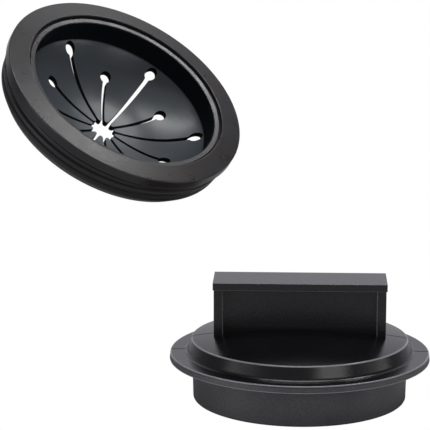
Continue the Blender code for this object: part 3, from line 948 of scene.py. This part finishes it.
def shade_by_area(mesh):
    """Keep large faces flat in their shading; the rounded edges between them take up the turn."""
    normals = [Vector() for _ in mesh.vertices]
    for polygon in mesh.polygons:
        for index in polygon.vertices:
            normals[index] += polygon.normal * polygon.area
    mesh.normals_split_custom_set_from_vertices([normal.normalized() for normal in normals])


def make_handle(to_row, plastic):
    half = (HANDLE_LENGTH / 2, HANDLE_DEPTH / 2)
    bar = box_mesh("bar", (-half[0], -half[1], HANDLE_TOP - BAR_THICKNESS), (*half, HANDLE_TOP))
    stem = prism_mesh("stem", stem_outline(), STEM_FOOT, HANDLE_TOP - BAR_THICKNESS / 2, "Z")
    mesh = combine(bar, [("UNION", stem)], bevel=HANDLE_BEVEL)
    piece = finish_piece("stopper_handle_skin", mesh, to_row, [plastic], HANDLE_SHARP)
    shade_by_area(piece.data)
    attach(piece, "stopper")
    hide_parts("stopper_handle")


def stopper_axis():
    """Where the stopper's axis stands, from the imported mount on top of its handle."""
    mounts = {mount["name"]: mount for mount in frame["record"]["mounts"]}
    x, y, _ = mounts["handle_top"]["pos_m"]
    return Vector((x, y, 0.0))


def make_stopper():
    to_row = Matrix.Translation(stopper_axis())
    plastic = stopper_plastic()
    make_cap(to_row, plastic)
    make_handle(to_row, plastic)


# --- Studio ---------------------------------------------------------------------------------


def make_camera():
    """Eye 650 mm from the stopper's flange, a little above it, with the guard at the upper left."""
    data = bpy.data.cameras.new("camera")
    data.sensor_width = 36.0
    data.lens = LENS
    data.clip_start, data.clip_end = 0.01, 20.0
    camera = bpy.data.objects.new("camera", data)
    back = EYE_DISTANCE * math.cos(EYE_RISE)
    height = SEAT_TOP * MM + EYE_DISTANCE * math.sin(EYE_RISE)
    camera.location = stopper_axis() + Vector((0.0, -back, height))
    camera.rotation_euler = (math.pi / 2 - EYE_PITCH, 0.0, EYE_YAW)
    bpy.context.scene.collection.objects.link(camera)
    bpy.context.scene.camera = camera


def add_softbox(name, direction, size, power, aim):
    """Area light in the given direction from the point it is aimed at."""
    light = bpy.data.lights.new(name, "AREA")
    light.shape = "RECTANGLE"
    light.size, light.size_y = size
    light.energy = power
    lamp = bpy.data.objects.new(name, light)
    away = Vector(direction).normalized()
    lamp.location = Vector(aim) + away * SOFTBOX_DISTANCE
    lamp.rotation_euler = away.to_track_quat("Z", "Y").to_euler()
    bpy.context.scene.collection.objects.link(lamp)


def make_world():
    """White to the eye; the object is lit mostly from above and behind."""
    world = bpy.data.worlds.new("studio")
    world.use_nodes = True
    bpy.context.scene.world = world
    tree = world.node_tree
    tree.nodes.clear()
    direction = tree.nodes.new("ShaderNodeTexCoord").outputs["Generated"]
    split = tree.nodes.new("ShaderNodeSeparateXYZ")
    tree.links.new(direction, split.inputs[0])
    depth = tree.nodes.new("ShaderNodeMapRange")
    tree.links.new(split.outputs["Y"], depth.inputs["Value"])
    depth.inputs["From Min"].default_value = -1.0
    ramp = tree.nodes.new("ShaderNodeValToRGB")
    tree.links.new(depth.outputs["Result"], ramp.inputs["Fac"])
    ramp.color_ramp.interpolation = "EASE"
    while len(ramp.color_ramp.elements) < len(ROOM_LIGHT):
        ramp.color_ramp.elements.new(0.5)
    for element, (place, strength) in zip(ramp.color_ramp.elements, ROOM_LIGHT):
        element.position = place
        element.color = (*(strength * tint for tint in ROOM_TINT), 1.0)
    room = tree.nodes.new("ShaderNodeBackground")
    tree.links.new(ramp.outputs["Color"], room.inputs["Color"])
    paper = tree.nodes.new("ShaderNodeBackground")
    paper.inputs["Color"].default_value = (1.0, 1.0, 1.0, 1.0)
    choice = tree.nodes.new("ShaderNodeMixShader")
    light_path = tree.nodes.new("ShaderNodeLightPath")
    tree.links.new(light_path.outputs["Is Camera Ray"], choice.inputs["Fac"])
    tree.links.new(room.outputs[0], choice.inputs[1])
    tree.links.new(paper.outputs[0], choice.inputs[2])
    output = tree.nodes.new("ShaderNodeOutputWorld")
    tree.links.new(choice.outputs[0], output.inputs["Surface"])


def make_floor():
    signs = ((-1, -1), (1, -1), (1, 1), (-1, 1))
    corners = [(FLOOR_REACH * x, FLOOR_REACH * y, FLOOR_HEIGHT) for x, y in signs]
    mesh = bpy.data.meshes.new("floor")
    mesh.from_pydata(corners, [], [(0, 1, 2, 3)])
    mesh.materials.append(stage_white())
    floor = bpy.data.objects.new("floor", mesh)
    bpy.context.scene.collection.objects.link(floor)


def make_studio():
    make_camera()
    make_world()
    make_floor()
    add_softbox("top_softbox", (0.0, 0.03, 1.0), (0.5, 0.12), 2.3, SET_AIM)
    add_softbox("key_softbox", (0.46, 0.35, 0.81), (0.13, 0.13), 0.82, GUARD_AIM)
    add_softbox("back_softbox", (0.22, 0.64, 0.74), (0.30, 0.22), 0.2, GUARD_AIM)
    add_softbox("front_softbox", (0.50, -0.76, 0.38), (0.40, 0.14), 0.45, STOPPER_AIM)
    add_softbox("left_softbox", (-0.82, -0.50, 0.05), (0.5, 0.3), 1.8, STOPPER_AIM)
    add_softbox("right_softbox", (0.95, -0.16, 0.02), (0.5, 0.3), 1.0, STOPPER_AIM)
    bpy.context.scene.view_settings.view_transform = "Standard"


make_guard()
make_stopper()
make_studio()
